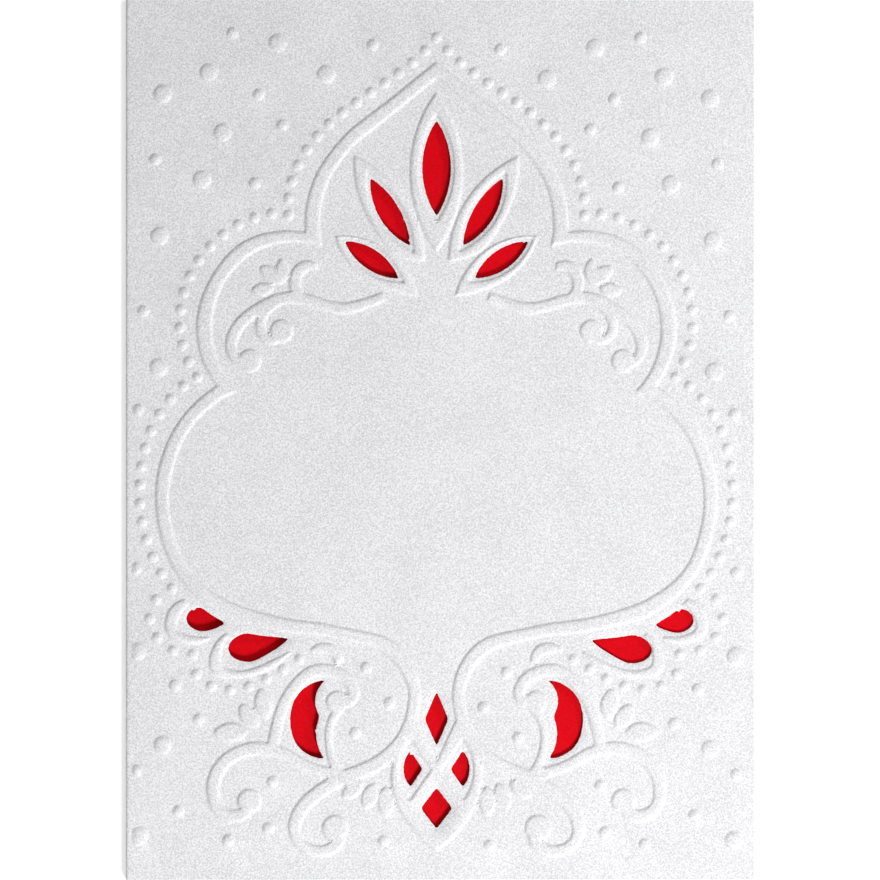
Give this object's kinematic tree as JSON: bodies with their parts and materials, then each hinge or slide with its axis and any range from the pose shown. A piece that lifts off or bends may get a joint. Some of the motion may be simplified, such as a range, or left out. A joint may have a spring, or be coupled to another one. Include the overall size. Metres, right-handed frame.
{
  "type": "greeting card",
  "caption": "Folded greeting card with an embossed arched cartouche, beaded border and scrolls, and die-cut windows that show a red sheet glued inside, on the back panel.",
  "frame": {"origin": "centre of the footprint, on the underside of the back panel", "axes": "+X from the fold to the free edge, +Y to the top of the card, +Z out of the embossed front"},
  "size_m": [0.127, 0.1778, 0.0028],
  "materials": {
    "pearl_card": "pearl white coated card, fine grain",
    "red_paper": "matt red paper"
  },
  "bodies": {
    "root": {"folded_card": "pearl_card", "red_backing": "red_paper"}
  },
  "joints": []
}
